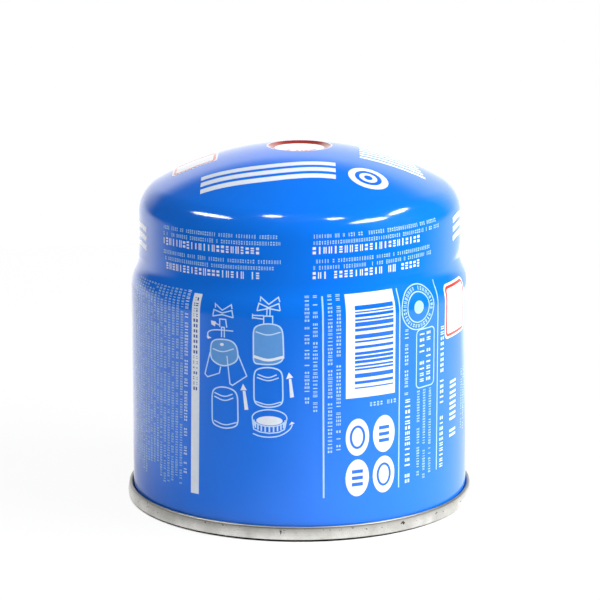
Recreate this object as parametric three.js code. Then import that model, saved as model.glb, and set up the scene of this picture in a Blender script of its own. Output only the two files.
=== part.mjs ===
import * as THREE from 'three';

// A sealed, pierceable gas cartridge for a camping stove, in millimetres, standing on z = 0.
// It is two pressings of steel: a printed can body, deep-drawn in one piece with its necked band,
// shoulder, domed top and piercing recess, and a bare tinplate base end. The two are joined all
// round by a double seam, in which the body's hook and the end's hook are rolled into each other.
// Both pieces are turned about the can's axis from a profile of straight lines and round arcs.

// Driving sizes of the can body
const overallHeight = 95;
const bodyRadius = 45;
const bodySheet = 0.35;
const neckReduction = 2.1;
const neckRise = 9;
const neckBandHeight = 10.6;
const shoulderRadius = 9;
const domeRadius = 78;

// Driving sizes of the recess that the stove's needle pierces
const recessRimRadius = 8.6;
const recessRimRound = 0.8;
const recessDepth = 0.6;
const recessWallSlope = THREE.MathUtils.degToRad(20);
const recessFloorRound = 0.5;

// Driving sizes of the double seam
const endSheet = 0.4;
const seamHeight = 3.8;
const seamClearance = 0.1;
const hookTipGap = 0.35;
const seamPanelRound = 0.9;
const standingLand = 0.3;

// Driving sizes of the dished base
const countersinkDepth = 4.6;
const baseCornerRadius = 1.5;
const baseDomeRadius = 110;

// How finely the round forms are cut into flats
const turnSegments = 60;
const chordError = 0.05;

const quarterTurn = Math.PI / 2;
const halfTurn = Math.PI;
const fullTurn = 2 * Math.PI;

// The can body above the seam
const neckRadius = bodyRadius - neckReduction;
const rimLean = Math.asin(recessRimRadius / domeRadius);
const domeCentreZ =
  overallHeight - recessRimRound - Math.cos(rimLean) * (domeRadius - recessRimRound);
const shoulderCentreR = neckRadius - shoulderRadius;
const shoulderLean = Math.asin(shoulderCentreR / (domeRadius - shoulderRadius));
const shoulderCentreZ = domeCentreZ + Math.cos(shoulderLean) * (domeRadius - shoulderRadius);
const neckTopZ = shoulderCentreZ - neckBandHeight;
const neckFootZ = neckTopZ - neckRise;

// The neck is an S of two equal arcs, which its rise and its reduction fix between them
const neckTurn = 2 * Math.atan(neckReduction / neckRise);
const neckArcRadius = (neckRise ** 2 + neckReduction ** 2) / (4 * neckReduction);

// The seam's five layers, from the inside out: the end's wall, the body's wall, the end's hook,
// the body's hook and the end's outer wall, each a clearance from the next
const chuckWallR = bodyRadius - bodySheet - seamClearance - endSheet;
const bodyBendInner = endSheet / 2 + seamClearance;
const bodyBendOuter = bodyBendInner + bodySheet;
const bodyBendR = bodyRadius + bodyBendInner;
const bodyBendZ = endSheet + seamClearance + bodyBendOuter;
const endBendInner = bodySheet / 2 + seamClearance;
const endBendOuter = endBendInner + endSheet;
const endBendR = bodyRadius + seamClearance + endSheet + endBendInner;
const endBendZ = seamHeight - endBendOuter;
const seamOuterR = endBendR + endBendOuter;
const bodyHookTopZ = seamHeight - endSheet - hookTipGap;
const endHookFootZ = bodyBendZ - bodyBendInner + hookTipGap;
const panelRound = Math.min(seamPanelRound, (seamOuterR - chuckWallR - standingLand) / 2);

// The dished base, whose dome runs into the seam's inner wall through a round corner
const baseCornerR = chuckWallR - baseCornerRadius;
const baseLean = Math.asin(baseCornerR / (baseDomeRadius - baseCornerRadius));
const baseDomeZ = countersinkDepth - Math.cos(baseLean) * (baseDomeRadius - baseCornerRadius);

// Points on an arc about (r, z), with flats no further than the chord error from the true curve
function arc(r, z, radius, fromAngle, toAngle) {
  const flat = 2 * Math.acos(1 - Math.min(chordError / radius, 0.5));
  const steps = Math.max(2, Math.ceil(Math.abs(toAngle - fromAngle) / flat));
  return Array.from({ length: steps + 1 }, (_, i) => {
    const angle = fromAngle + ((toAngle - fromAngle) * i) / steps;
    return new THREE.Vector2(r + radius * Math.cos(angle), z + radius * Math.sin(angle));
  });
}

function point(r, z) {
  return new THREE.Vector2(r, z);
}

// The dished base's surface at a given depth into the metal, from the axis out to its corner's end
function dishedBase(depth) {
  const tangent = quarterTurn - baseLean;
  return [
    ...arc(0, baseDomeZ, baseDomeRadius + depth, quarterTurn, tangent),
    ...arc(baseCornerR, countersinkDepth, baseCornerRadius + depth, tangent, 0),
  ];
}

// The bottom of the seam at a given depth into the metal, from the inner wall to the outer wall
function seamPanel(depth) {
  const round = panelRound - depth;
  return [
    ...arc(chuckWallR + panelRound, panelRound, round, halfTurn, halfTurn + quarterTurn),
    ...arc(seamOuterR - panelRound, panelRound, round, -quarterTurn, 0),
  ];
}

// The body's lower edge, bent outwards and up into a hook
function bodyHook() {
  return [
    ...arc(bodyBendR, bodyBendZ, bodyBendOuter, halfTurn, fullTurn),
    point(bodyBendR + bodyBendOuter, bodyHookTopZ),
    point(bodyBendR + bodyBendInner, bodyHookTopZ),
    ...arc(bodyBendR, bodyBendZ, bodyBendInner, 0, -halfTurn),
  ];
}

// The step from the body in to the necked band
function neck() {
  const lowerR = bodyRadius - neckArcRadius;
  const upperR = neckRadius + neckArcRadius;
  return [
    ...arc(lowerR, neckFootZ, neckArcRadius, 0, neckTurn),
    ...arc(upperR, neckTopZ, neckArcRadius, halfTurn + neckTurn, halfTurn),
  ];
}

// The rounded shoulder and the shallow dome, up to the rim of the recess
function shoulderAndDome() {
  const tangent = quarterTurn - shoulderLean;
  return [
    ...arc(shoulderCentreR, shoulderCentreZ, shoulderRadius, 0, tangent),
    ...arc(0, domeCentreZ, domeRadius, tangent, quarterTurn - rimLean),
  ];
}

// The shallow dished recess in the middle of the top: rolled rim, sloping wall and flat floor. The
// rim's highest point is a point of its own, because it sets the can's overall height.
function recess() {
  const rimCentreR = Math.sin(rimLean) * (domeRadius - recessRimRound);
  const rimCentreZ = overallHeight - recessRimRound;
  const floorZ = overallHeight - recessDepth;
  const curveDrop = (recessRimRound + recessFloorRound) * (1 - Math.cos(recessWallSlope));
  const curveRun = (recessRimRound + recessFloorRound) * Math.sin(recessWallSlope);
  const wallRun = (recessDepth - curveDrop) / Math.tan(recessWallSlope);
  const floorRadius = rimCentreR - curveRun - wallRun;
  const rimEnd = quarterTurn + recessWallSlope;
  const floorStart = -quarterTurn + recessWallSlope;
  return [
    ...arc(rimCentreR, rimCentreZ, recessRimRound, quarterTurn - rimLean, quarterTurn),
    ...arc(rimCentreR, rimCentreZ, recessRimRound, quarterTurn, rimEnd),
    ...arc(floorRadius, floorZ + recessFloorRound, recessFloorRound, floorStart, -quarterTurn),
    point(0, floorZ),
  ];
}

// The can is sealed and can't be seen into, so the body is solid down to the base end
function canBodyProfile() {
  return [
    ...dishedBase(endSheet + seamClearance),
    ...bodyHook(),
    ...neck(),
    ...shoulderAndDome(),
    ...recess(),
  ];
}

// The base end is a sheet: its underside out to the seam, over the end's hook, and back on top
function baseEndProfile() {
  return [
    ...dishedBase(0),
    ...seamPanel(0),
    ...arc(endBendR, endBendZ, endBendOuter, 0, halfTurn),
    point(endBendR - endBendOuter, endHookFootZ),
    point(endBendR - endBendInner, endHookFootZ),
    ...arc(endBendR, endBendZ, endBendInner, halfTurn, 0),
    ...seamPanel(endSheet).reverse(),
    ...dishedBase(endSheet).reverse(),
  ];
}

// A profile's ends lie on the axis exactly, and points that repeat where two arcs meet are dropped
function turned(name, profile, material) {
  const apart = 1e-4;
  const outline = profile.filter((p, i) => i === 0 || p.distanceTo(profile[i - 1]) > apart);
  outline[0].x = 0;
  outline[outline.length - 1].x = 0;
  const mesh = new THREE.Mesh(new THREE.LatheGeometry(outline, turnSegments), material);
  mesh.name = name;
  return mesh;
}

const printedSteel = new THREE.MeshStandardMaterial({
  color: 0x1f74ea,
  roughness: 0.22,
  metalness: 0.1,
});
const bareTinplate = new THREE.MeshStandardMaterial({
  color: 0xc9cac4,
  roughness: 0.35,
  metalness: 1,
});

// A turned profile stands along y, so the whole can is tipped up to stand along z
const canister = new THREE.Group();
canister.rotation.x = quarterTurn;
canister.add(turned('can_body', canBodyProfile(), printedSteel));
canister.add(turned('base_end', baseEndProfile(), bareTinplate));

export default canister;
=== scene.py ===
import bisect
import math
import random

import bmesh
import bpy
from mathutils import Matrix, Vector


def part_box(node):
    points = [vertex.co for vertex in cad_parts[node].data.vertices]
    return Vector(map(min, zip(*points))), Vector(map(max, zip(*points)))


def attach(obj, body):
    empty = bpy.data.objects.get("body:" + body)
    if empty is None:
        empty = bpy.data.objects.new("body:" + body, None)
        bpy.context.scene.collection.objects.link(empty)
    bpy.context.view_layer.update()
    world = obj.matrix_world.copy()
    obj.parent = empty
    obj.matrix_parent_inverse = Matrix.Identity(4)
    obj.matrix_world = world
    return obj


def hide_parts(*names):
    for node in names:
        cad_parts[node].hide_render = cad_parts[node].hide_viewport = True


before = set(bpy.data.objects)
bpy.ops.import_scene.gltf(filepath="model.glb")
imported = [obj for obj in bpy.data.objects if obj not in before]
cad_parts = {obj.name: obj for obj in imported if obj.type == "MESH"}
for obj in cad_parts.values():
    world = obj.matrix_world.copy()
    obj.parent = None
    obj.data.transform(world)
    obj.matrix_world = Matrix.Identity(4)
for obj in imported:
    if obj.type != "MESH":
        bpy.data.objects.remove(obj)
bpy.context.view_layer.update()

scene = bpy.context.scene
scene.view_settings.view_transform = "Standard"

# The camera. It stands in front of the can, a little above it, and looks gently down through a
# long lens, as the photograph does.
mm = 0.001
camera_away = 732.98 * mm
camera_height = 219.12 * mm
camera_aside = 0.12 * mm
camera_tilt = math.radians(12.77)
sensor_width = 36.0
lens_length = 168.22

camera = bpy.data.objects.new("camera", bpy.data.cameras.new("camera"))
camera.data.sensor_width = sensor_width
camera.data.lens = lens_length
camera.data.clip_start = 0.05
camera.data.clip_end = 20.0
camera.location = (camera_aside, -camera_away, camera_height)
camera.rotation_euler = (math.pi / 2 - camera_tilt, 0.0, 0.0)
scene.collection.objects.link(camera)
scene.camera = camera

# The can body: one steel sheet, printed flat, then deep-drawn into a wall, a necked band, a round
# shoulder, a shallow dome and the dished recess that a stove pierces. Its foot is hooked into the
# seam. The can is sealed, so the body is one solid down to the dished base.
body_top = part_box("can_body")[1].z
body_radius = 45 * mm
body_sheet = 0.35 * mm
neck_radius = 42.9 * mm
neck_rise = 9 * mm
neck_band = 10.6 * mm
shoulder_radius = 9 * mm
dome_radius = 78 * mm
recess_rim = 8.6 * mm
recess_rim_round = 0.8 * mm
recess_depth = 0.6 * mm
recess_slope = math.radians(20)
recess_floor_round = 0.5 * mm
end_sheet = 0.4 * mm
seam_height = 3.8 * mm
seam_gap = 0.1 * mm
hook_tip_gap = 0.35 * mm
seam_panel_round = 0.9 * mm
countersink = 4.6 * mm
base_corner = 1.5 * mm
base_dome = 110 * mm
curve_error = 0.002 * mm
coarsest_flat = 0.02
turn_segments = 240
weld_reach = 0.001 * mm
same_reach = 0.0001 * mm
quarter = math.pi / 2

rim_lean = math.asin(recess_rim / dome_radius)
dome_z = body_top - recess_rim_round - math.cos(rim_lean) * (dome_radius - recess_rim_round)
shoulder_r = neck_radius - shoulder_radius
shoulder_lean = math.asin(shoulder_r / (dome_radius - shoulder_radius))
shoulder_z = dome_z + math.cos(shoulder_lean) * (dome_radius - shoulder_radius)
neck_top = shoulder_z - neck_band
neck_foot = neck_top - neck_rise
neck_step = body_radius - neck_radius
neck_turn = 2 * math.atan(neck_step / neck_rise)
neck_arc = (neck_rise ** 2 + neck_step ** 2) / (4 * neck_step)

chuck_wall = body_radius - body_sheet - seam_gap - end_sheet
body_bend_in = end_sheet / 2 + seam_gap
body_bend_out = body_bend_in + body_sheet
body_bend_r = body_radius + body_bend_in
body_bend_z = end_sheet + seam_gap + body_bend_out
base_corner_r = chuck_wall - base_corner
base_lean = math.asin(base_corner_r / (base_dome - base_corner))
base_dome_z = countersink - math.cos(base_lean) * (base_dome - base_corner)


def arc(r, z, radius, start, end):
    """Points on an arc about (r, z), close enough together to look round."""
    flat = 2 * math.acos(1 - min(curve_error / radius, coarsest_flat))
    steps = max(2, math.ceil(abs(end - start) / flat))
    angles = [start + (end - start) * i / steps for i in range(steps + 1)]
    return [(r + radius * math.cos(a), z + radius * math.sin(a)) for a in angles]


def dished_base(depth):
    """The dished base at a given depth into the metal, from the axis out to its corner."""
    tangent = quarter - base_lean
    return (
        arc(0, base_dome_z, base_dome + depth, quarter, tangent)
        + arc(base_corner_r, countersink, base_corner + depth, tangent, 0)
    )


def neck_and_dome():
    """The outside of the can body, from the foot of the neck up to the rim of the recess."""
    tangent = quarter - shoulder_lean
    return (
        arc(body_radius - neck_arc, neck_foot, neck_arc, 0, neck_turn)
        + arc(neck_radius + neck_arc, neck_top, neck_arc, math.pi + neck_turn, math.pi)
        + arc(shoulder_r, shoulder_z, shoulder_radius, 0, tangent)
        + arc(0, dome_z, dome_radius, tangent, quarter - rim_lean)
    )


def recess():
    """The dished recess, from its rolled rim to the middle of its flat floor."""
    rim_r = math.sin(rim_lean) * (dome_radius - recess_rim_round)
    rounds = recess_rim_round + recess_floor_round
    wall_drop = recess_depth - rounds * (1 - math.cos(recess_slope))
    floor_r = rim_r - rounds * math.sin(recess_slope) - wall_drop / math.tan(recess_slope)
    floor_z = body_top - recess_depth
    rim_z = body_top - recess_rim_round
    return (
        arc(rim_r, rim_z, recess_rim_round, quarter - rim_lean, quarter + recess_slope)
        + arc(floor_r, floor_z + recess_floor_round, recess_floor_round,
              recess_slope - quarter, -quarter)
        + [(0, floor_z)]
    )


def body_hook():
    """The foot of the can body, bent outwards and up into a hook inside the seam."""
    tip_z = seam_height - end_sheet - hook_tip_gap
    return (
        arc(body_bend_r, body_bend_z, body_bend_out, math.pi, 2 * math.pi)
        + [(body_bend_r + body_bend_out, tip_z), (body_bend_r + body_bend_in, tip_z)]
        + arc(body_bend_r, body_bend_z, body_bend_in, 0, -math.pi)
    )


def node(tree, kind, inputs=(), **settings):
    """Adds a node to a tree, with its settings, and with values or links for its inputs."""
    made = tree.nodes.new(kind)
    for name, value in settings.items():
        setattr(made, name, value)
    for socket, value in dict(inputs).items():
        if isinstance(value, bpy.types.NodeSocket):
            tree.links.new(value, made.inputs[socket])
        else:
            made.inputs[socket].default_value = value
    return made


def sockets(tree, inputs, output):
    """Names a Geometry Nodes tree's inputs and its output, and returns the input sockets."""
    tree.is_modifier = True
    for name, kind in inputs.items():
        tree.interface.new_socket(name, in_out="INPUT", socket_type="NodeSocket" + kind)
    tree.interface.new_socket(output, in_out="OUTPUT", socket_type="NodeSocketGeometry")
    return node(tree, "NodeGroupInput").outputs


def run_tree(piece, tree, **values):
    """Runs a Geometry Nodes tree on a piece and keeps the result as a plain mesh."""
    modifier = piece.modifiers.new(tree.name, "NODES")
    modifier.node_group = tree
    for item in tree.interface.items_tree:
        key = item.name.replace(" ", "_").lower()
        if item.in_out == "INPUT" and key in values:
            modifier[item.identifier] = values[key]
    graph = bpy.context.evaluated_depsgraph_get()
    mesh = bpy.data.meshes.new_from_object(piece.evaluated_get(graph))
    piece.modifiers.clear()
    piece.data = mesh


turning = bpy.data.node_groups.new("turned_from_profile", "GeometryNodeTree")
given = sockets(turning, {"Profile": "Geometry", "Segments": "Int", "Material": "Material"}, "Piece")
rows = node(turning, "GeometryNodeAttributeDomainSize", {"Geometry": given["Profile"]})
columns = node(turning, "FunctionNodeIntegerMath", {0: given["Segments"], 1: 1}, operation="ADD")
grid = node(turning, "GeometryNodeMeshGrid", {
    "Vertices X": rows.outputs["Point Count"],
    "Vertices Y": columns.outputs[0],
})
index = node(turning, "GeometryNodeInputIndex")
row = node(turning, "FunctionNodeIntegerMath", {0: index.outputs[0], 1: columns.outputs[0]},
           operation="DIVIDE_FLOOR")
column = node(turning, "FunctionNodeIntegerMath", {0: index.outputs[0], 1: columns.outputs[0]},
              operation="MODULO")
place = node(turning, "GeometryNodeInputPosition")
on_profile = node(turning, "GeometryNodeSampleIndex", data_type="FLOAT_VECTOR")
turning.links.new(given["Profile"], on_profile.inputs["Geometry"])
turning.links.new(place.outputs[0], on_profile.inputs["Value"])
turning.links.new(row.outputs[0], on_profile.inputs["Index"])
profile_point = node(turning, "ShaderNodeSeparateXYZ", {0: on_profile.outputs[0]})
share = node(turning, "ShaderNodeMath", {0: column.outputs[0], 1: given["Segments"]},
             operation="DIVIDE")
angle = node(turning, "ShaderNodeMath", {0: share.outputs[0], 1: -2 * math.pi},
             operation="MULTIPLY")
sine = node(turning, "ShaderNodeMath", {0: angle.outputs[0]}, operation="SINE")
cosine = node(turning, "ShaderNodeMath", {0: angle.outputs[0]}, operation="COSINE")
across = node(turning, "ShaderNodeMath", {0: profile_point.outputs["X"], 1: sine.outputs[0]},
              operation="MULTIPLY")
along = node(turning, "ShaderNodeMath", {0: profile_point.outputs["X"], 1: cosine.outputs[0]},
             operation="MULTIPLY")
turned_point = node(turning, "ShaderNodeCombineXYZ", {
    "X": across.outputs[0],
    "Y": along.outputs[0],
    "Z": profile_point.outputs["Z"],
})
swept = node(turning, "GeometryNodeSetPosition", {
    "Geometry": grid.outputs["Mesh"],
    "Position": turned_point.outputs[0],
})
closed = node(turning, "GeometryNodeMergeByDistance", {
    "Geometry": swept.outputs[0],
    "Distance": weld_reach,
})
smooth = node(turning, "GeometryNodeSetShadeSmooth", {"Geometry": closed.outputs[0]})
coated = node(turning, "GeometryNodeSetMaterial", {
    "Geometry": smooth.outputs[0],
    "Material": given["Material"],
})
node(turning, "NodeGroupOutput", {"Piece": coated.outputs[0]})


def added(name, mesh):
    """A mesh put into the scene as a piece of its own."""
    piece = bpy.data.objects.new(name, mesh)
    scene.collection.objects.link(piece)
    return piece


def turned(name, profile, material):
    """A piece turned about the can's axis from a profile of radii and heights."""
    kept = [p for i, p in enumerate(profile) if i == 0 or math.dist(p, profile[i - 1]) > same_reach]
    chain = bpy.data.meshes.new(name)
    edges = [(i, i + 1) for i in range(len(kept) - 1)]
    chain.from_pydata([(r, 0, z) for r, z in kept], edges, [])
    piece = added(name, chain)
    run_tree(piece, turning, segments=turn_segments, material=material)
    shape = bmesh.new()
    shape.from_mesh(piece.data)
    bmesh.ops.recalc_face_normals(shape, faces=shape.faces)
    shape.to_mesh(piece.data)
    shape.free()
    return piece


def gloss_finish(name, roughness):
    """A material with a glossy clear coat over it, and the faint orange peel of stoved lacquer."""
    material = bpy.data.materials.new(name)
    material.use_nodes = True
    tree = material.node_tree
    shader = tree.nodes["Principled BSDF"]
    shader.inputs["Roughness"].default_value = roughness
    shader.inputs["Coat Weight"].default_value = 1.0
    shader.inputs["Coat Roughness"].default_value = coat_roughness
    shader.inputs["Coat IOR"].default_value = 1.5
    shader.inputs["Specular IOR Level"].default_value = 0.0
    spot = node(tree, "ShaderNodeTexCoord").outputs["Object"]
    peel = node(tree, "ShaderNodeTexNoise", {"Vector": spot, "Scale": 420.0, "Detail": 1.0})
    bump = node(tree, "ShaderNodeBump", {
        "Strength": 0.06,
        "Distance": 0.05 * mm,
        "Height": peel.outputs["Fac"],
    })
    tree.links.new(bump.outputs[0], shader.inputs["Normal"])
    tree.links.new(bump.outputs[0], shader.inputs["Coat Normal"])
    return material, tree, shader, spot


coat_roughness = 0.10
lacquer_roughness = 0.4
lacquer_blue = (0.0025, 0.165, 0.78, 1.0)
lacquer_deep = (0.002, 0.148, 0.72, 1.0)
# The recess's colours: a pale ring on the rim's rounding, which is a painted highlight, the wall's
# red, darkened to brown as painted shade, and the floor's white.
rim_painted_highlight = (0.58, 0.53, 0.60, 1.0)
red_with_painted_shade = (0.30, 0.022, 0.012, 1.0)
lacquer_white = (0.82, 0.80, 0.80, 1.0)
pale_edge = 8.75 * mm
red_edge = 8.3 * mm
white_edge = 6.55 * mm
recess_height = 90 * mm

blue_lacquer, tree, shader, spot = gloss_finish("blue_lacquer", lacquer_roughness)
mottle = node(tree, "ShaderNodeTexNoise", {"Vector": spot, "Scale": 60.0, "Detail": 3.0})
blue = node(tree, "ShaderNodeMix", {0: mottle.outputs["Fac"], 6: lacquer_deep, 7: lacquer_blue},
            data_type="RGBA")
parts = node(tree, "ShaderNodeSeparateXYZ", {0: spot})
flat_spot = node(tree, "ShaderNodeCombineXYZ", {"X": parts.outputs["X"], "Y": parts.outputs["Y"]})
from_axis = node(tree, "ShaderNodeVectorMath", {0: flat_spot.outputs[0]}, operation="LENGTH")
on_top = node(tree, "ShaderNodeMath", {0: parts.outputs["Z"], 1: recess_height},
              operation="GREATER_THAN")
colour = blue.outputs[2]
rings = ((pale_edge, rim_painted_highlight), (red_edge, red_with_painted_shade), (white_edge, lacquer_white))
for edge, ink in rings:
    inside = node(tree, "ShaderNodeMath", {0: from_axis.outputs["Value"], 1: edge},
                  operation="LESS_THAN")
    both = node(tree, "ShaderNodeMath", {0: inside.outputs[0], 1: on_top.outputs[0]},
                operation="MULTIPLY")
    colour = node(tree, "ShaderNodeMix", {0: both.outputs[0], 6: colour, 7: ink},
                  data_type="RGBA").outputs[2]
tree.links.new(colour, shader.inputs["Base Color"])

body_profile = (
    dished_base(end_sheet + seam_gap) + body_hook() + neck_and_dome() + recess()
)
body = turned("printed_can_body", body_profile, blue_lacquer)
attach(body, "root")
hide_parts("can_body")

# The base end: one pressing of bare tinplate. It is dished inwards against the gas's pressure, and
# its rim is rolled over the can body's hook and ironed into the double seam. The seam's outer wall
# leans in a little towards the roll-over, which is rougher than the ironed metal below it and painted
# darker as painted shade.
end_bend_in = body_sheet / 2 + seam_gap
end_bend_out = end_bend_in + end_sheet
end_bend_r = body_radius + seam_gap + end_sheet + end_bend_in
end_bend_z = seam_height - end_bend_out
seam_outer = end_bend_r + end_bend_out
end_hook_foot = body_bend_z - body_bend_in + hook_tip_gap
seam_taper = 0.6
taper_foot = 1.5 * mm


def seam_panel(depth):
    """The bottom of the seam at a given depth into the metal, from the inner wall outwards."""
    bend = seam_panel_round - depth
    return (
        arc(chuck_wall + seam_panel_round, seam_panel_round, bend, math.pi, 1.5 * math.pi)
        + arc(seam_outer - seam_panel_round, seam_panel_round, bend, -quarter, 0)
    )


tin_bright = (0.80, 0.79, 0.765, 1.0)
# The dark tin tone serves both the random dull patches and the painted shade on the roll-over.
tin_dull_and_shade = (0.35, 0.345, 0.30, 1.0)
dull_shaded_top = 3.7 * mm
ironed_lit_low = 1.9 * mm
speck_brown = (0.10, 0.085, 0.06, 1.0)
speck_low = 1.9 * mm
speck_high = 3.3 * mm
pit_level = 0.67
grain_roughness = 0.16

tinplate = bpy.data.materials.new("bare_tinplate")
tinplate.use_nodes = True
tree = tinplate.node_tree
shader = tree.nodes["Principled BSDF"]
shader.inputs["Metallic"].default_value = 1.0
spot = node(tree, "ShaderNodeTexCoord").outputs["Object"]
rolled = node(tree, "ShaderNodeMapping", {"Vector": spot, "Scale": (40.0, 40.0, 2600.0)})
grain = node(tree, "ShaderNodeTexNoise", {"Vector": rolled.outputs[0], "Scale": 1.0, "Detail": 3.0})
cloud = node(tree, "ShaderNodeTexNoise", {"Vector": spot, "Scale": 180.0, "Detail": 4.0})
height = node(tree, "ShaderNodeSeparateXYZ", {0: spot}).outputs["Z"]
# Darker towards the roll-over: painted shade on the colour. The roughness there is the metal's own.
ironed_and_lit = node(tree, "ShaderNodeMapRange", {
    "Value": height,
    "From Min": dull_shaded_top,
    "From Max": ironed_lit_low,
    "To Min": 0.3,
    "To Max": 1.35,
})
cloud_and_shade = node(tree, "ShaderNodeMath", {0: cloud.outputs["Fac"], 1: ironed_and_lit.outputs[0]},
              operation="MULTIPLY", use_clamp=True)
tone = node(tree, "ShaderNodeMix", {0: cloud_and_shade.outputs[0], 6: tin_dull_and_shade, 7: tin_bright},
            data_type="RGBA")
over_low = node(tree, "ShaderNodeMath", {0: height, 1: speck_low}, operation="GREATER_THAN")
under_high = node(tree, "ShaderNodeMath", {0: height, 1: speck_high}, operation="LESS_THAN")
belt = node(tree, "ShaderNodeMath", {0: over_low.outputs[0], 1: under_high.outputs[0]},
            operation="MULTIPLY")
pits = node(tree, "ShaderNodeTexNoise", {"Vector": spot, "Scale": 1100.0, "Detail": 2.0})
pit = node(tree, "ShaderNodeMath", {0: pits.outputs["Fac"], 1: pit_level},
           operation="GREATER_THAN")
speck = node(tree, "ShaderNodeMath", {0: pit.outputs[0], 1: belt.outputs[0]}, operation="MULTIPLY")
specked = node(tree, "ShaderNodeMix", {0: speck.outputs[0], 6: tone.outputs[2], 7: speck_brown},
               data_type="RGBA")
rolled_rough = node(tree, "ShaderNodeMapRange", {
    "Value": ironed_and_lit.outputs[0],
    "From Min": 0.3,
    "From Max": 0.8,
    "To Min": 0.38,
    "To Max": 0.16,
})
rough = node(tree, "ShaderNodeMath", {
    0: grain.outputs["Fac"],
    1: grain_roughness,
    2: rolled_rough.outputs[0],
}, operation="MULTIPLY_ADD")
bump = node(tree, "ShaderNodeBump", {
    "Strength": 0.25,
    "Distance": 0.02 * mm,
    "Height": grain.outputs["Fac"],
})
tree.links.new(specked.outputs[2], shader.inputs["Base Color"])
tree.links.new(rough.outputs[0], shader.inputs["Roughness"])
tree.links.new(bump.outputs[0], shader.inputs["Normal"])

roll_over = arc(end_bend_r, end_bend_z, end_bend_out, 0, quarter)
end_profile = (
    dished_base(0)
    + seam_panel(0)
    + [(seam_outer, taper_foot)]
    + [(end_bend_r + (r - end_bend_r) * seam_taper, z) for r, z in roll_over]
    + arc(end_bend_r, end_bend_z, end_bend_out, quarter, math.pi)
    + [(end_bend_r - end_bend_out, end_hook_foot), (end_bend_r - end_bend_in, end_hook_foot)]
    + arc(end_bend_r, end_bend_z, end_bend_in, math.pi, 0)
    + seam_panel(end_sheet)[::-1]
    + dished_base(end_sheet)[::-1]
)
base_end = turned("tinplate_base_end", end_profile, tinplate)
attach(base_end, "root")
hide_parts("base_end")

# The print and its inks. Each piece of print is drawn flat, as it was laid on the sheet before the
# can was formed, then cut fine enough to bend, and pressed on to the can. On the wall it climbs a
# little towards the right. The inks lie under the same clear coat as the lacquer.
ink_lift = 0.03 * mm
ink_sink = 0.02 * mm
print_climb = 0.02
cut_step = 1.5
fold_step = 0.6
same_point = 1e-6
mitre_limit = 0.5
corner_cuts = 3
corner_share = 0.25
sharp_angle = math.radians(40)
outside = [(body_radius, 0.0)] + neck_and_dome()
outside_heights = [z for r, z in outside]


def on_wall(flat):
    """Where a point of the flat print lies on the can: x runs round the wall, y up, z outwards."""
    height = flat.y + print_climb * flat.x
    i = min(bisect.bisect_right(outside_heights, height), len(outside) - 1)
    (r0, z0), (r1, z1) = outside[i - 1], outside[i]
    out = Vector((z1 - z0, r0 - r1)).normalized()
    radius = r0 + (r1 - r0) * (height - z0) / (z1 - z0) + out.x * flat.z
    turn = flat.x / body_radius
    return Vector((radius * math.sin(turn), -radius * math.cos(turn), height + out.y * flat.z))


def on_dome(flat):
    """Where a point of the flat print lies on the dome, seen from above: z is outwards."""
    height = math.sqrt(dome_radius ** 2 - flat.x ** 2 - flat.y ** 2)
    up = Vector((flat.x, flat.y, height)) / dome_radius
    return Vector((flat.x, flat.y, dome_z + height)) + up * flat.z


def on_recess(flat):
    """Where a point of the flat print lies on the recess's floor."""
    return Vector((flat.x, flat.y, body_top - recess_depth + flat.z))


def bar(left, low, right, high):
    """A filled rectangle."""
    return [[(left, low), (right, low), (right, high), (left, high)]]


def round_path(x, y, across, up, start=0, end=360, steps=40):
    """Points along an ellipse, or along a stretch of one, counted in degrees from its right."""
    turns = [math.radians(start + (end - start) * i / steps) for i in range(steps + 1)]
    return [(x + across * math.cos(t), y + up * math.sin(t)) for t in turns]


def disc(x, y, across, up, steps=40):
    """A filled ellipse."""
    return [round_path(x, y, across, up, steps=steps)[:-1]]


def box_path(x, y, width, height, corner):
    """Points round a rectangle with round corners, centred on a point."""
    path = []
    for i, (side, end) in enumerate(((1, 1), (-1, 1), (-1, -1), (1, -1))):
        at_x = x + side * (width / 2 - corner)
        at_y = y + end * (height / 2 - corner)
        path += round_path(at_x, at_y, corner, corner, 90 * i, 90 * i + 90, 6)
    return path


def stroke(path, line, closed=False):
    """A line of even width along a path, as a strip of four-sided pieces."""
    path = [Vector(p) for p in path]
    if closed and (path[0] - path[-1]).length < same_point:
        path.pop()
    sides = []
    for i, p in enumerate(path):
        before = path[i - 1] if closed or i else p
        after = path[(i + 1) % len(path)] if closed or i + 1 < len(path) else p
        along = (p - before).normalized() + (after - p).normalized()
        along.normalize()
        last = (after - p) if after != p else (p - before)
        square = max(mitre_limit, abs(along.dot(last.normalized())))
        aside = Vector((-along.y, along.x)) * (line / 2 / square)
        sides.append((tuple(p - aside), tuple(p + aside)))
    count = len(sides) if closed else len(sides) - 1
    pairs = [(sides[i], sides[(i + 1) % len(sides)]) for i in range(count)]
    return [[a[0], b[0], b[1], a[1]] for a, b in pairs]


def rounded(path, closed=False, reach=0.8):
    """A path with its corners cut a few times over, each time half as far back as before."""
    for _ in range(corner_cuts):
        ahead = path[1:] + path[:1] if closed else path[1:]
        cut = []
        for (x0, y0), (x1, y1) in zip(path, ahead):
            share = min(corner_share, reach / max(math.hypot(x1 - x0, y1 - y0), reach))
            cut.append((x0 + share * (x1 - x0), y0 + share * (y1 - y0)))
            cut.append((x1 - share * (x1 - x0), y1 - share * (y1 - y0)))
        path = cut if closed else [path[0]] + cut + [path[-1]]
        reach /= 2
    return path


def finish_print(piece, ink):
    """Shades a piece of print smoothly over its face, gives it its ink and fixes it to the can."""
    piece.data.materials.clear()
    piece.data.materials.append(ink)
    piece.data.polygons.foreach_set("use_smooth", [True] * len(piece.data.polygons))
    piece.data.set_sharp_from_angle(angle=sharp_angle)
    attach(piece, "root")


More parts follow.
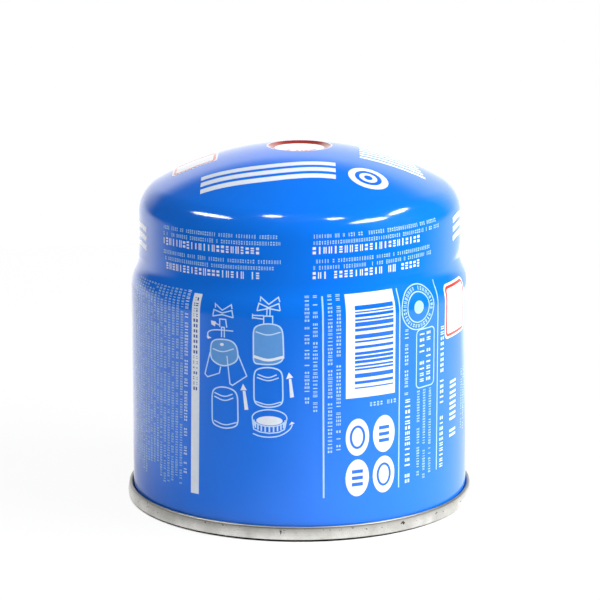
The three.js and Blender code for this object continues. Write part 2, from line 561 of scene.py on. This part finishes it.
def printed(name, outlines, ink, onto, layer=1):
    """A piece of print in one ink, from flat outlines in millimetres."""
    shape = bmesh.new()
    for outline in outlines:
        shape.faces.new([shape.verts.new((x * mm, y * mm, 0)) for x, y in outline])
    bmesh.ops.remove_doubles(shape, verts=shape.verts, dist=weld_reach)
    for axis, step in ((0, cut_step * mm), (1, (fold_step if onto is on_wall else cut_step) * mm)):
        places = [v.co[axis] for v in shape.verts]
        across = Vector((axis == 0, axis == 1, 0))
        for i in range(math.ceil(min(places) / step), math.floor(max(places) / step) + 1):
            everything = shape.verts[:] + shape.edges[:] + shape.faces[:]
            bmesh.ops.bisect_plane(shape, geom=everything, dist=same_reach,
                                   plane_co=across * (i * step), plane_no=across)
    for face in shape.faces:
        face.normal_update()
        if face.normal.z < 0:
            face.normal_flip()
    shape.verts.index_update()
    flat = [v.co.copy() for v in shape.verts]
    faces = [[v.index for v in face.verts] for face in shape.faces]
    rims = [(loop.vert.index, loop.link_loop_next.vert.index)
            for face in shape.faces for loop in face.loops if loop.edge.is_boundary]
    shape.free()
    count = len(flat)
    low = [onto(p + Vector((0, 0, -ink_sink))) for p in flat]
    high = [onto(p + Vector((0, 0, ink_lift * layer))) for p in flat]
    walls = [(a, b, b + count, a + count) for a, b in rims]
    tops = [[i + count for i in face] for face in faces]
    mesh = bpy.data.meshes.new(name)
    mesh.from_pydata(low + high, [], [face[::-1] for face in faces] + tops + walls)
    finish_print(added(name, mesh), ink)


typing = bpy.data.node_groups.new("rows_of_marks", "GeometryNodeTree")
given = sockets(typing, {
    "Lines": "Geometry",
    "Mark Height": "Float",
    "Mark Width": "Float",
    "Pitch": "Float",
    "Thickness": "Float",
    "Space Share": "Float",
    "Seed": "Int",
    "Material": "Material",
}, "Marks")
line_curve = node(typing, "GeometryNodeMeshToCurve", {"Mesh": given["Lines"]})
spots = node(typing, "GeometryNodeCurveToPoints",
             {"Curve": line_curve.outputs[0], "Length": given["Pitch"]}, mode="LENGTH")
space = node(typing, "FunctionNodeRandomValue",
             {"Probability": given["Space Share"], "Seed": given["Seed"]}, data_type="BOOLEAN")
words = node(typing, "GeometryNodeDeleteGeometry", {
    "Geometry": spots.outputs["Points"],
    "Selection": space.outputs[3],
}, domain="POINT")
mark_size = node(typing, "ShaderNodeCombineXYZ", {
    "X": given["Mark Width"],
    "Y": given["Mark Height"],
    "Z": given["Thickness"],
})
shapes = node(typing, "GeometryNodeJoinGeometry")
for bars in (
    ((0, 0, 0.42, 1),),
    ((-0.3, 0, 0.3, 1), (0.3, 0, 0.3, 1)),
    ((0, 0.29, 0.9, 0.36), (0, -0.29, 0.9, 0.36)),
    ((0, 0.38, 0.9, 0.24), (0, 0, 0.9, 0.22), (0, -0.38, 0.9, 0.24)),
):
    shape = node(typing, "GeometryNodeJoinGeometry")
    for x, y, width, height in bars:
        cube = node(typing, "GeometryNodeMeshCube", {"Size": (width, height, 1)})
        moved = node(typing, "GeometryNodeTransform",
                     {"Geometry": cube.outputs["Mesh"], "Translation": (x, y, 0)})
        typing.links.new(moved.outputs[0], shape.inputs[0])
    single = node(typing, "GeometryNodeGeometryToInstance", {0: shape.outputs[0]})
    typing.links.new(single.outputs[0], shapes.inputs[0])
which = node(typing, "FunctionNodeRandomValue", {4: 0, 5: 3, "Seed": given["Seed"]},
             data_type="INT")
stretch = node(typing, "FunctionNodeRandomValue",
               {0: (0.8, 0.8, 1.0), 1: (1.0, 1.0, 1.0), "Seed": given["Seed"]},
               data_type="FLOAT_VECTOR")
scaled = node(typing, "ShaderNodeVectorMath", {0: stretch.outputs[0], 1: mark_size.outputs[0]},
              operation="MULTIPLY")
turned_marks = node(typing, "GeometryNodeInstanceOnPoints", {
    "Points": words.outputs[0],
    "Instance": shapes.outputs[0],
    "Pick Instance": True,
    "Instance Index": which.outputs[2],
    "Scale": scaled.outputs[0],
})
facing = node(typing, "FunctionNodeAlignRotationToVector",
              {"Vector": spots.outputs["Tangent"]}, axis="X")
typing.links.new(facing.outputs[0], turned_marks.inputs["Rotation"])
real_marks = node(typing, "GeometryNodeRealizeInstances", {0: turned_marks.outputs[0]})
inked = node(typing, "GeometryNodeSetMaterial", {
    "Geometry": real_marks.outputs[0],
    "Material": given["Material"],
})
node(typing, "NodeGroupOutput", {"Marks": inked.outputs[0]})


mark_share = 0.74


def marks(name, lines, height, pitch, ink, onto, seed, space=0.14):
    """Rows of small plain marks along flat lines, in millimetres."""
    ends = [(x * mm, y * mm, (ink_lift - ink_sink) / 2) for line in lines for x, y in line]
    edges = []
    for line in lines:
        start = edges[-1][1] + 1 if edges else 0
        edges += [(start + i, start + i + 1) for i in range(len(line) - 1)]
    mesh = bpy.data.meshes.new(name)
    mesh.from_pydata(ends, edges, [])
    piece = added(name, mesh)
    run_tree(piece, typing, mark_height=height * mm, mark_width=mark_share * pitch * mm,
             pitch=pitch * mm, thickness=ink_lift + ink_sink, space_share=space, seed=seed,
             material=ink)
    for vertex in piece.data.vertices:
        vertex.co = onto(vertex.co)
    finish_print(piece, ink)


ink_roughness = 0.5
thinnest_ink = 0.9


def ink_finish(name, colour):
    """A printing ink, a little uneven in its cover."""
    material, tree, shader, spot = gloss_finish(name, ink_roughness)
    weave = node(tree, "ShaderNodeTexNoise", {"Vector": spot, "Scale": 900.0, "Detail": 2.0})
    thin = tuple(thinnest_ink * channel for channel in colour[:3]) + (1.0,)
    shade = node(tree, "ShaderNodeMix", {0: weave.outputs["Fac"], 6: thin, 7: colour},
                 data_type="RGBA")
    tree.links.new(shade.outputs[2], shader.inputs["Base Color"])
    return material


pale_ink = ink_finish("pale_ink", (0.62, 0.78, 0.95, 1.0))
white_ink = ink_finish("white_ink", (0.76, 0.82, 0.90, 1.0))
housing_ink = ink_finish("housing_blue_ink", (0.11, 0.32, 0.72, 1.0))
thin_ink = ink_finish("thin_ink", (0.38, 0.62, 0.84, 1.0))
sign_ink = ink_finish("sign_ink", (0.50, 0.72, 0.95, 1.0))
blue_ink = ink_finish("blue_ink", (0.005, 0.14, 0.68, 1.0))
deep_ink = ink_finish("deep_blue_ink", (0.006, 0.06, 0.30, 1.0))
red_ink = ink_finish("red_ink", (0.70, 0.045, 0.03, 1.0))
rng = random.Random(4)

# The type on the neck: four blocks, two above two, each of two lines of small marks over a line of
# bolder ones. The small lines end unevenly, and the bold ones are all of one length.
block_tops = (78.9, 72.5)
block_starts = ((-42.7, 38.0), (3.9, 41.5))
line_drop = 1.65
head_drop = 3.6
head_length = 31.5

neck_lines = []
neck_heads = []
for top in block_tops:
    for start, longest in block_starts:
        for y in (top, top - line_drop):
            end = start + longest - rng.uniform(0, 6)
            neck_lines.append([(start, y), (end, y)])
        head_y = top - head_drop
        neck_heads.append([(start, head_y), (start + head_length, head_y)])
marks("neck_small_type", neck_lines, 1.05, 0.72, thin_ink, on_wall, 1)
marks("neck_headings", neck_heads, 1.95, 1.38, white_ink, on_wall, 2, space=0.06)

# The type on the wall's left: columns of small marks side by side, which run down the wall, lean a
# little and end unevenly. The first column is bolder than the rest.
column_top = 63.6
column_lean = 0.024
column_pitch = 1.62
first_column = -31.2
left_columns = []
for i in range(17):
    x = first_column - column_pitch * i
    foot = 13.0 + rng.uniform(-2.0, 4.0)
    left_columns.append([(x, column_top), (x - column_lean * (column_top - foot), foot)])
marks("left_bold_type", left_columns[:1], 1.2, 0.82, pale_ink, on_wall, 4, space=0.12)
marks("left_small_type", left_columns[1:], 0.95, 0.68, thin_ink, on_wall, 3, space=0.12)

# The type on the wall's right: columns of small, fine and bold marks that run down the wall, and
# beyond them a column of large bars.
side_columns = [[(1.9, column_top), (1.9, 36.5)], [(4.0, column_top), (4.0, 34.2)]]
side_columns += [[(7.8, column_top), (7.8, 23.2)], [(10.0, column_top), (10.0, 23.6)]]
side_columns += [[(29.5, 52.5), (29.5, 35.8)], [(18.8, 34.7), (25.8, 34.7)]]
marks("side_small_type", side_columns, 1.25, 0.95, thin_ink, on_wall, 5)
fine_columns = [[(x, 35.6), (x, foot)] for x, foot in ((33.7, 12.6), (35.9, 12.2), (38.2, 13.2))]
fine_columns += [[(56.3, 36.5), (56.3, 20.5)], [(58.4, 36.5), (58.4, 19.0)]]
marks("side_fine_type", fine_columns, 0.95, 0.70, thin_ink, on_wall, 6)
bold_columns = [[(30.0, 33.8), (30.0, 12.4)], [(43.5, 50.6), (43.5, 13.6)]]
bold_columns += [[(34.9, 50.6), (34.9, 38.4)], [(37.4, 50.6), (37.4, 38.4)]]
marks("side_bold_type", bold_columns, 1.75, 1.42, pale_ink, on_wall, 7, space=0.10)
large_type = []
for y in (34.2, 31.3, 28.4, 25.5, 21.0):
    for lift in (-0.65, 0.65):
        large_type += bar(47.9, y + lift - 0.35, 51.7, y + lift + 0.35)
printed("side_large_type", large_type, pale_ink, on_wall)

# The fields and rules on the wall. The fields are white: a strip beside the left columns, a tall
# field, four ovals and a label. The rules are thin and pale: three straight ones, a frame, and two
# rings round a small disc, with marks between the rings.
oval_left = 15.1
oval_right = 22.6
oval_high = 26.4
oval_low = 15.6
label_at = (51.2, 54.2)
rings_at = (33.7, 57.9)
rule_line = 0.34
fine_line = 0.3

white_fields = stroke([(-28.2, 63.3), (-29.1, 10.4)], 2.6)
white_fields += bar(11.9, 36.8, 25.8, 63.7)
for x in (oval_left, oval_right):
    for y in (oval_high, oval_low):
        white_fields += disc(x, y, 3.2, 4.9)
white_fields.append(box_path(*label_at, 13.0, 14.4, 1.6))
printed("white_fields", white_fields, white_ink, on_wall)
rules = stroke([(5.9, column_top), (6.2, 11.0)], 0.45)
rules += stroke([(27.2, column_top), (27.2, 11.2)], rule_line)
rules += stroke([(41.3, column_top), (41.3, 12.9)], rule_line)
rules += stroke(round_path(*rings_at, 5.8, 5.8), fine_line, closed=True)
rules += stroke(round_path(*rings_at, 3.9, 3.9), fine_line, closed=True)
rules += stroke(box_path(36.3, 44.2, 6.8, 15.4, 1.2), fine_line, closed=True)
rules += disc(*rings_at, 1.7, 1.7)
printed("pale_rules", rules, thin_ink, on_wall)
marks("ring_marks", [round_path(*rings_at, 4.85, 4.85)], 1.0, 0.95, thin_ink, on_wall, 9, space=0.1)

# The print on those fields: blue stripes of uneven widths on the tall one, rings and bars in the
# ovals, dark marks along the strip, and a red line inside the label's edge.
stripe_low = 39.2
stripe_end = 60.5
stripe_widths = (0.35, 0.5, 0.75, 1.1)
stripe_gaps = (0.35, 0.5, 0.85)

stripes = []
while stripe_low < stripe_end:
    tall = rng.choice(stripe_widths)
    stripes += bar(14.3, stripe_low, 25.2, stripe_low + tall)
    stripe_low += tall + rng.choice(stripe_gaps)
for x, y in ((oval_left, oval_high), (oval_right, oval_low)):
    stripes += stroke(round_path(x, y, 1.8, 2.8), 0.6, closed=True)
for x, y in ((oval_right, oval_high), (oval_left, oval_low)):
    for lift in (-1.7, 0.0, 1.7):
        stripes += bar(x - 1.5, y + lift - 0.45, x + 1.5, y + lift + 0.45)
printed("blue_stripes", stripes, blue_ink, on_wall, layer=2)
marks("bar_marks", [[(-28.25, 62.0), (-28.65, 38.5)]], 1.5, 1.35, deep_ink, on_wall, 10, space=0.1)
label_line = stroke(box_path(*label_at, 11.2, 12.6, 1.0), 0.7, closed=True)
printed("red_label_line", label_line, red_ink, on_wall, layer=2)

# The signs on the wall, printed in pale lines: how a stove with legs, and one with a threaded ring,
# go on to the can. Each is drawn from a few strokes, with pale blue fields for the stoves' housings.
legged_housing = [
    (-23.7, 50.2), (-23.3, 51.5), (-22.1, 52.2), (-20, 52.4), (-17.8, 52.2), (-16.4, 51.1),
    (-15.9, 48.9), (-16.1, 47.2), (-17.5, 46.1), (-20, 45.3), (-22.4, 46), (-23.8, 47.3),
]
ringed_housing = [
    (-11.8, 46.7), (-11.8, 55.1), (-11.2, 56.3), (-9.1, 57), (-6.6, 57), (-4.8, 56.3),
    (-4.2, 54.8), (-4, 47.7), (-5.8, 46.6), (-8, 46.4), (-10.2, 46.5),
]
left_can = [
    (-23.4, 30.3), (-23.4, 38), (-22.5, 39.4), (-20, 40), (-17.2, 39.4), (-16.1, 38),
    (-16, 30.5), (-17, 29.5), (-19.8, 28.9), (-22.4, 29.5),
]
right_can = [
    (-11.7, 36.7), (-11.7, 43.8), (-11, 45.2), (-8, 45.8), (-5.1, 45.2), (-4.3, 43.8),
    (-4.2, 36.7), (-5.1, 35.7), (-8, 35.1), (-10.7, 35.7),
]
sign_paths = [
    [(-22.3, 60.4), (-22.5, 61.4), (-20.3, 59.9), (-17.9, 61.4), (-17.6, 60.4)],
    [(-23, 58.2), (-22.7, 59.9), (-20.3, 59.2), (-17.6, 60), (-17.2, 58.2)],
    [(-23, 58.2), (-20.3, 58.8), (-17.2, 58.2)],
    [(-21, 55.5), (-21, 57.6), (-19.3, 57.6), (-19, 55.5)],
    [(-21.2, 56), (-23.1, 56.8)],
    [(-20.5, 52.9), (-20.5, 55.5), (-19.7, 55.5), (-19.7, 52.9)],
    [(-23.9, 48.6), (-25.5, 42.8), (-24.7, 42.1), (-21.2, 43.4), (-20.8, 45.2)],
    [(-19, 48.1), (-18.2, 40.9), (-17.5, 40.5), (-13.6, 43.2), (-15.9, 48.6)],
    [(-10.2, 62.5), (-10.2, 63.6), (-7.9, 61.9), (-5.5, 63.6), (-5.1, 62.5)],
    [(-10.9, 60.3), (-10.5, 62.1), (-7.9, 61.1), (-5.3, 62.1), (-4.9, 60.4)],
    [(-10.9, 60.3), (-7.9, 60.9), (-4.9, 60.4)],
    [(-9.1, 56.9), (-9.1, 59), (-6.8, 59), (-6.8, 56.9)],
    [(-8.3, 59), (-8.3, 61.1)],
    [(-7.5, 59), (-7.5, 61.1)],
    [(-12, 59.5), (-12, 58.2)],
    [(-12, 59.1), (-9.1, 59.1)],
    [(-12, 58.5), (-9.1, 58.2)],
    [(-12.2, 32.3), (-11.8, 29.4), (-10.2, 28.7), (-7.7, 28.4), (-5.3, 28.7), (-3.8, 29.5),
     (-3.2, 32.3)],
]
sign_arcs = [
    [(-17.2, 54.7), (-20.3, 54.8), (-23.3, 54.6), (-24.7, 53.8), (-24.4, 52.6)],
    [(-23.1, 49.7), (-20.3, 48.9), (-17.1, 50.1)],
    [(-22.7, 38.2), (-19.8, 37.2), (-17.5, 38.2)],
    [(-22.7, 37.2), (-19.8, 36.1), (-17.3, 37.2)],
    [(-22.8, 30.8), (-19.8, 29.7), (-16.4, 30.8)],
    [(-11.2, 54.9), (-8, 53.9), (-4.8, 54.9)],
    [(-10.7, 43.8), (-8, 42.8), (-5.8, 43.8)],
    [(-10.9, 43), (-8, 42), (-5.3, 43)],
    [(-11.3, 36.7), (-8, 35.7), (-4.6, 36.7)],
    [(-12, 28.2), (-10.2, 27.5), (-7.5, 27.3), (-4.7, 27.8), (-2.4, 29.4), (-1.8, 30.8)],
]
sign_fills = [
    [(-14.7, 39.3), (-14, 39.3), (-13.2, 34.4), (-14.2, 34.3)],
    [(-14.6, 41.1), (-13.6, 39.5), (-15.3, 39.4)],
    [(-2.7, 42.7), (-2.1, 42.8), (-1.4, 38), (-2.4, 37.8)],
    [(-2.7, 44.4), (-1.6, 43.1), (-3.4, 42.7)],
    [(-24.9, 52.9), (-23.4, 52.5), (-24.5, 52.1)],
    [(-2, 31.5), (-1.2, 31.1), (-2.7, 30.6)],
    [(-23.5, 57), (-22.1, 56.8), (-22.4, 55.6), (-23.4, 56)],
]
ring_x = -7.7
ring_y = 32.4
outline_line = 0.36
sign_lines = stroke(round_path(ring_x, ring_y, 4.5, 2.2), fine_line, closed=True)
housings = [rounded(legged_housing, closed=True), rounded(ringed_housing, closed=True)]
for outline in housings + [rounded(left_can, closed=True), rounded(right_can, closed=True)]:
    sign_lines += stroke(outline, outline_line, closed=True)
for path in sign_paths + [rounded(path) for path in sign_arcs]:
    sign_lines += stroke(path, fine_line)
for i in range(11):
    turn = math.radians(-75 + 15 * i)
    x = ring_x + 4.2 * math.sin(turn)
    drop = 2.1 * math.cos(turn)
    sign_lines += bar(x - 0.2, ring_y - drop - 1.6, x + 0.2, ring_y - drop)
white_signs = sign_fills + stroke(rounded([(-11.8, 48.5), (-8.1, 47.4), (-3.9, 48.5)]), 0.7)
white_signs += disc(-20.4, 51.0, 0.55, 0.4, steps=12)
white_signs += disc(ring_x, ring_y - 0.7, 3.4, 1.2)
printed("pale_housings", housings, housing_ink, on_wall)
printed("sign_lines", sign_lines, sign_ink, on_wall, layer=2)
printed("white_signs", white_signs, white_ink, on_wall, layer=3)

# The print on the dome: three waved stripes, a disc with a ring in it, a block of straight stripes
# and a label with a red line. It is laid out flat, as seen from above, and pressed down on the dome.
disc_at = (17.7, -21.9)
dome_label_at = (-27.6, -0.4)
wave_xs = [-25.5 + 1.2 * k for k in range(30)]

dome_fields = []
for i in range(3):
    y = -18.2 - 3.5 * i
    dome_fields += stroke([(x, y + 0.7 * math.sin(x / 5.5)) for x in wave_xs], 2.1)
dome_fields += disc(*disc_at, 5.2, 5.2)
for i in range(6):
    dome_fields += bar(15.8, -9.4 + 2.5 * i, 33.0 - 0.5 * i, -7.9 + 2.5 * i)
dome_fields.append(box_path(*dome_label_at, 12.0, 12.0, 1.0))
printed("dome_fields", dome_fields, white_ink, on_dome)
disc_mark = stroke(round_path(*disc_at, 2.9, 2.9), 1.1, closed=True)
disc_mark += disc(*disc_at, 1.1, 1.1, steps=16)
printed("dome_disc_mark", disc_mark, blue_ink, on_dome, layer=2)
dome_line = stroke(box_path(*dome_label_at, 10.4, 10.4, 0.8), 0.6, closed=True)
printed("dome_label_line", dome_line, red_ink, on_dome, layer=2)

# The waved stripes at the neck's two sides, three above each other in white ink. They start at the
# edges of the front and run on round the sides.
side_waves = []
for start, reach, low in ((-54, -40, 71.5), (54, 40, 71.9)):
    for i in range(3):
        y = low + 2.4 * i
        path = [(start + reach * k / 36, y + 0.5 * math.sin(k / 3.0)) for k in range(37)]
        side_waves += stroke(path, 1.4)
printed("neck_side_waves", side_waves, white_ink, on_wall)

# The print in the recess: red marks round the front half of its floor. The floor's white and the
# wall's red are lacquer on the can body.
# The wall's red is darkened to brown as painted shade, and a pale ring on the rim is a painted
# highlight.
marks("recess_marks", [round_path(0, 0, 4.9, 4.9, 218, 322, 24)], 1.3, 1.15, red_ink, on_recess, 11,
      space=0.12)

# The floor: a sheet of white paper that the can stands on, lit so that it burns out to white. A line
# of painted shadow, dark paper colour, lies round the seam's foot, a little thinner at the sides. In
# reflections the paper's glow fades towards the front and the left, and grows behind the can.
floor_radius = 0.34
shade_radius = 46.3 * mm
contact_radius = 46.75 * mm
clear_radius = 47.35 * mm
side_thinning = 1.02

paper = bpy.data.materials.new("white_paper")
paper.use_nodes = True
tree = paper.node_tree
shader = tree.nodes["Principled BSDF"]
shader.inputs["Roughness"].default_value = 0.9
shader.inputs["Specular IOR Level"].default_value = 0.1
spot = node(tree, "ShaderNodeSeparateXYZ", {0: node(tree, "ShaderNodeTexCoord").outputs["Object"]})
fade = node(tree, "ShaderNodeMapRange", {
    "Value": spot.outputs["Y"],
    "From Min": -0.32,
    "From Max": -0.10,
    "To Min": 0.06,
    "To Max": 1.0,
})
lean = node(tree, "ShaderNodeMapRange", {
    "Value": spot.outputs["X"],
    "From Min": -0.06,
    "From Max": 0.02,
    "To Min": 0.45,
    "To Max": 1.38,
})
behind = node(tree, "ShaderNodeMath",
              {0: spot.outputs["X"], 1: -0.8, 2: spot.outputs["Y"]}, operation="MULTIPLY_ADD")
glare = node(tree, "ShaderNodeMapRange", {
    "Value": behind.outputs[0],
    "From Min": 0.01,
    "From Max": 0.13,
    "To Min": 1.0,
    "To Max": 3.0,
})
nearer = node(tree, "ShaderNodeMath", {0: fade.outputs[0], 1: lean.outputs[0]},
              operation="MULTIPLY")
reflected = node(tree, "ShaderNodeMath", {0: nearer.outputs[0], 1: glare.outputs[0]},
                 operation="MULTIPLY")
ray = node(tree, "ShaderNodeLightPath")
level = node(tree, "ShaderNodeMix", {
    "Factor": ray.outputs["Is Glossy Ray"],
    "A": 1.0,
    "B": reflected.outputs[0],
})
glow = node(tree, "ShaderNodeEmission", {"Color": (1, 1, 1, 1), "Strength": level.outputs[0]})
aside = node(tree, "ShaderNodeMath", {0: spot.outputs["X"], 1: side_thinning}, operation="MULTIPLY")
flat_spot = node(tree, "ShaderNodeCombineXYZ", {"X": aside.outputs[0], "Y": spot.outputs["Y"]})
from_axis = node(tree, "ShaderNodeVectorMath", {0: flat_spot.outputs[0]}, operation="LENGTH")
clear = node(tree, "ShaderNodeMapRange", {
    "Value": from_axis.outputs["Value"],
    "From Min": contact_radius,
    "From Max": clear_radius,
    "To Min": 0.0,
    "To Max": 0.92,
})
# The paper's colour is painted dark under and just round the seam's foot as a painted contact shadow,
# and its glow is held back there.
shade = node(tree, "ShaderNodeMapRange", {
    "Value": from_axis.outputs["Value"],
    "From Min": shade_radius,
    "From Max": contact_radius,
    "To Min": 0.02,
    "To Max": 0.93,
})
tree.links.new(shade.outputs[0], shader.inputs["Base Color"])
either = node(tree, "ShaderNodeMath",
              {0: ray.outputs["Is Camera Ray"], 1: ray.outputs["Is Glossy Ray"]}, operation="MAXIMUM")
seen = node(tree, "ShaderNodeMath", {0: either.outputs[0], 1: clear.outputs[0]}, operation="MULTIPLY")
blend = node(tree, "ShaderNodeMixShader", {
    0: seen.outputs[0],
    1: shader.outputs[0],
    2: glow.outputs[0],
})
tree.links.new(blend.outputs[0], tree.nodes["Material Output"].inputs["Surface"])

sheet = bmesh.new()
bmesh.ops.create_circle(sheet, cap_ends=True, segments=96, radius=floor_radius)
floor_mesh = bpy.data.meshes.new("floor")
sheet.to_mesh(floor_mesh)
sheet.free()
floor_mesh.materials.append(paper)
added("floor", floor_mesh)

# The light: a large soft key on the right and a weak one above, neither of which the gloss shows,
# and a row of small oval lamps that only draw the glints on the shoulder. The gloss shows a studio
# with a white table and backdrop, nearly dark overhead and in front, where the camera stands.
key_power = 26.0
soft_power = 7.0
glint_glow = 26.0
ceiling_glow = 0.09
aim = Vector((0, 0, 60 * mm))


def lamp(name, azimuth, elevation, distance, width, tall, power, roll=0):
    """An oval lamp that faces the can. Its azimuth from the front, elevation and roll are degrees."""
    a = math.radians(azimuth)
    e = math.radians(elevation)
    way = Vector((math.sin(a) * math.cos(e), -math.cos(a) * math.cos(e), math.sin(e)))
    light = bpy.data.lights.new(name, "AREA")
    light.shape = "ELLIPSE"
    light.size = width
    light.size_y = tall
    light.energy = power
    made = bpy.data.objects.new(name, light)
    made.location = aim + way * distance
    made.rotation_euler = (-way).to_track_quat("-Z", "Y").to_euler()
    made.rotation_euler.rotate_axis("Z", math.radians(roll))
    scene.collection.objects.link(made)
    return made


lamp("key_right", 75, 24, 1.3, 1.1, 0.9, key_power).visible_glossy = False
lamp("soft_top", -15, 68, 1.2, 0.8, 0.8, soft_power).visible_glossy = False
glints = {
    "lamp_left": (-82, 45, 0.49, 0.13, 19),
    "lamp_top_left": (-39, 70, 0.17, 0.14, 0),
    "lamp_top_right": (38, 60, 0.17, 0.13, 0),
    "lamp_front_right": (60, 42, 0.48, 0.16, 0),
    "lamp_right": (98, 45, 0.38, 0.11, 0),
}
for name, (azimuth, elevation, width, tall, roll) in glints.items():
    area = math.pi * width * tall / 4
    power = glint_glow * math.pi * area
    lamp(name, azimuth, elevation, 1.0, width, tall, power, roll).visible_diffuse = False

world = bpy.data.worlds.new("studio")
scene.world = world
world.use_nodes = True
tree = world.node_tree
tree.nodes.clear()
way = node(tree, "ShaderNodeTexCoord").outputs["Generated"]
toward = node(tree, "ShaderNodeSeparateXYZ", {0: way})

# On the left the backdrop starts further back and the dark overhead comes lower, so that the sheen
# on the can's left edge stays narrow.
left_only = node(tree, "ShaderNodeMath", {0: toward.outputs["X"], 1: 0.0}, operation="MINIMUM")
back = node(tree, "ShaderNodeMath", {0: left_only.outputs[0], 1: 0.06, 2: toward.outputs["Y"]},
            operation="MULTIPLY_ADD")
high = node(tree, "ShaderNodeMath", {0: left_only.outputs[0], 1: -0.35, 2: toward.outputs["Z"]},
            operation="MULTIPLY_ADD")
backdrop = node(tree, "ShaderNodeMapRange", {
    "Value": back.outputs[0],
    "From Min": 0.58,
    "From Max": 0.88,
    "To Min": 0.08,
    "To Max": 1.4,
})
overhead = node(tree, "ShaderNodeMapRange", {
    "Value": high.outputs[0],
    "From Min": 0.50,
    "From Max": 0.64,
    "To Min": 1.0,
    "To Max": 0.08,
})
table = node(tree, "ShaderNodeMapRange", {
    "Value": toward.outputs["Y"],
    "From Min": 0.05,
    "From Max": 0.60,
    "To Min": 0.06,
    "To Max": 1.5,
})
side = node(tree, "ShaderNodeMapRange", {
    "Value": toward.outputs["X"],
    "From Min": -0.8,
    "From Max": 0.8,
    "To Min": 1.15,
    "To Max": 0.85,
})
horizon = node(tree, "ShaderNodeMapRange", {
    "Value": toward.outputs["Z"],
    "From Min": -0.06,
    "From Max": 0.06,
})
upper_half = node(tree, "ShaderNodeMix", {
    "Factor": overhead.outputs[0],
    "A": ceiling_glow,
    "B": backdrop.outputs[0],
})
around = node(tree, "ShaderNodeMix", {
    "Factor": horizon.outputs[0],
    "A": table.outputs[0],
    "B": upper_half.outputs[0],
})
studio = node(tree, "ShaderNodeMath", {0: around.outputs[0], 1: side.outputs[0]},
              operation="MULTIPLY")
gloss = node(tree, "ShaderNodeBackground", {"Color": (1, 1, 1, 1), "Strength": studio.outputs[0]})
fill = node(tree, "ShaderNodeMapRange", {
    "Value": toward.outputs["X"],
    "From Min": -1.0,
    "From Max": 1.0,
    "To Min": 0.02,
    "To Max": 0.64,
})
soft = node(tree, "ShaderNodeBackground", {"Color": (1, 1, 1, 1), "Strength": fill.outputs[0]})
plain = node(tree, "ShaderNodeBackground", {"Color": (1, 1, 1, 1), "Strength": 1.0})
ray = node(tree, "ShaderNodeLightPath")
lit = node(tree, "ShaderNodeMixShader", {
    0: ray.outputs["Is Glossy Ray"],
    1: soft.outputs[0],
    2: gloss.outputs[0],
})
seen = node(tree, "ShaderNodeMixShader", {
    0: ray.outputs["Is Camera Ray"],
    1: lit.outputs[0],
    2: plain.outputs[0],
})
node(tree, "ShaderNodeOutputWorld", {"Surface": seen.outputs[0]})
